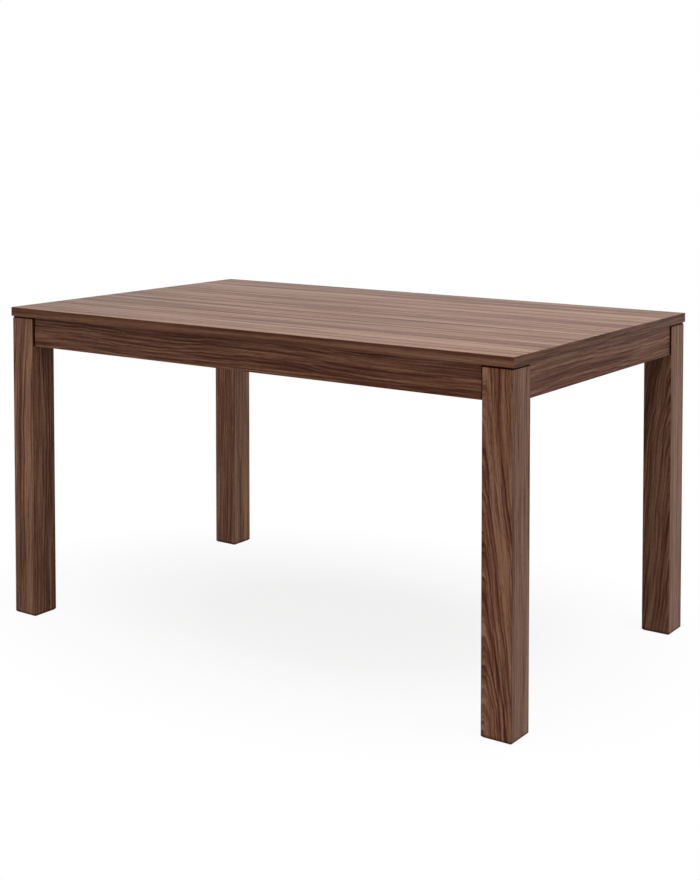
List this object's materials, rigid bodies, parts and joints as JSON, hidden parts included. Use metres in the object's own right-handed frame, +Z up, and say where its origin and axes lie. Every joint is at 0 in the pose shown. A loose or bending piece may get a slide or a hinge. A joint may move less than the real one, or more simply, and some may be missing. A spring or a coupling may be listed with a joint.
{
  "type": "extending dining table",
  "caption": "Rectangular walnut-veneered dining table on square corner legs; each end apron pulls out on telescopic slides to carry an extension leaf stored under the top.",
  "frame": {"origin": "on the floor, under the middle of the closed table", "axes": "+X along the table's length to the right, +Y from the front long side to the back, +Z up"},
  "size_m": [1.4, 0.84, 0.76],
  "materials": {
    "top_veneer": "satin lacquered walnut veneer",
    "leg_veneer": "satin lacquered walnut veneer",
    "apron_veneer": "satin lacquered walnut veneer",
    "inner_beech": "planed and sealed beech",
    "zinc_steel": "zinc plated",
    "black_steel": "matt black powder coat",
    "glide_nylon": "moulded nylon",
    "pad_felt": "pressed felt"
  },
  "bodies": {
    "frame": {"table_top": "top_veneer", "leg_front_left": "leg_veneer", "leg_back_left": "leg_veneer", "leg_front_right": "leg_veneer", "leg_back_right": "leg_veneer", "leg_plate_front_left": "black_steel", "leg_plate_back_left": "black_steel", "leg_plate_front_right": "black_steel", "leg_plate_back_right": "black_steel", "leg_glide_front_left": "glide_nylon", "leg_glide_back_left": "glide_nylon", "leg_glide_front_right": "glide_nylon", "leg_glide_back_right": "glide_nylon", "apron_bracket_front_left": "black_steel", "apron_bracket_back_left": "black_steel", "apron_bracket_front_right": "black_steel", "apron_bracket_back_right": "black_steel", "slide_outer_front_left": "zinc_steel", "slide_outer_back_left": "zinc_steel", "slide_outer_front_right": "zinc_steel", "slide_outer_back_right": "zinc_steel", "long_apron_front": "apron_veneer", "long_apron_back": "apron_veneer", "fixing_batten_front": "inner_beech", "fixing_batten_back": "inner_beech", "slide_bearer_front": "inner_beech", "slide_bearer_back": "inner_beech", "leaf_rail_left": "inner_beech", "leaf_rail_right": "inner_beech", "end_cross_rail_left": "inner_beech", "end_cross_rail_right": "inner_beech", "leaf_lower": "top_veneer", "leaf_upper": "top_veneer", "leaf_pads": "pad_felt", "leg_plate_screws": "zinc_steel", "bracket_screws": "zinc_steel", "rail_screws": "zinc_steel"},
    "pull_out_end_left": {"end_apron_left": "apron_veneer", "runner_blocks_left": "inner_beech", "runner_front_left": "inner_beech", "runner_back_left": "inner_beech", "slide_inner_front_left": "zinc_steel", "slide_inner_back_left": "zinc_steel"},
    "slide_middles_left": {"slide_middle_front_left": "zinc_steel", "slide_middle_back_left": "zinc_steel"},
    "pull_out_end_right": {"end_apron_right": "apron_veneer", "runner_blocks_right": "inner_beech", "runner_front_right": "inner_beech", "runner_back_right": "inner_beech", "slide_inner_front_right": "zinc_steel", "slide_inner_back_right": "zinc_steel"},
    "slide_middles_right": {"slide_middle_front_right": "zinc_steel", "slide_middle_back_right": "zinc_steel"}
  },
  "joints": [
    {"name": "end_left_pull", "type": "slide", "parent": "frame", "child": "pull_out_end_left", "axis": [-1, 0, 0], "range_m": [0, 0.45]},
    {"name": "slide_left_travel", "type": "slide", "parent": "frame", "child": "slide_middles_left", "axis": [-1, 0, 0], "range_m": [0, 0.225]},
    {"name": "end_right_pull", "type": "slide", "parent": "frame", "child": "pull_out_end_right", "axis": [1, 0, 0], "range_m": [0, 0.45]},
    {"name": "slide_right_travel", "type": "slide", "parent": "frame", "child": "slide_middles_right", "axis": [1, 0, 0], "range_m": [0, 0.225]}
  ],
  "couplings": [
    {"joint": "slide_left_travel", "follows": "end_left_pull", "ratio": 0.5},
    {"joint": "slide_right_travel", "follows": "end_right_pull", "ratio": 0.5}
  ]
}
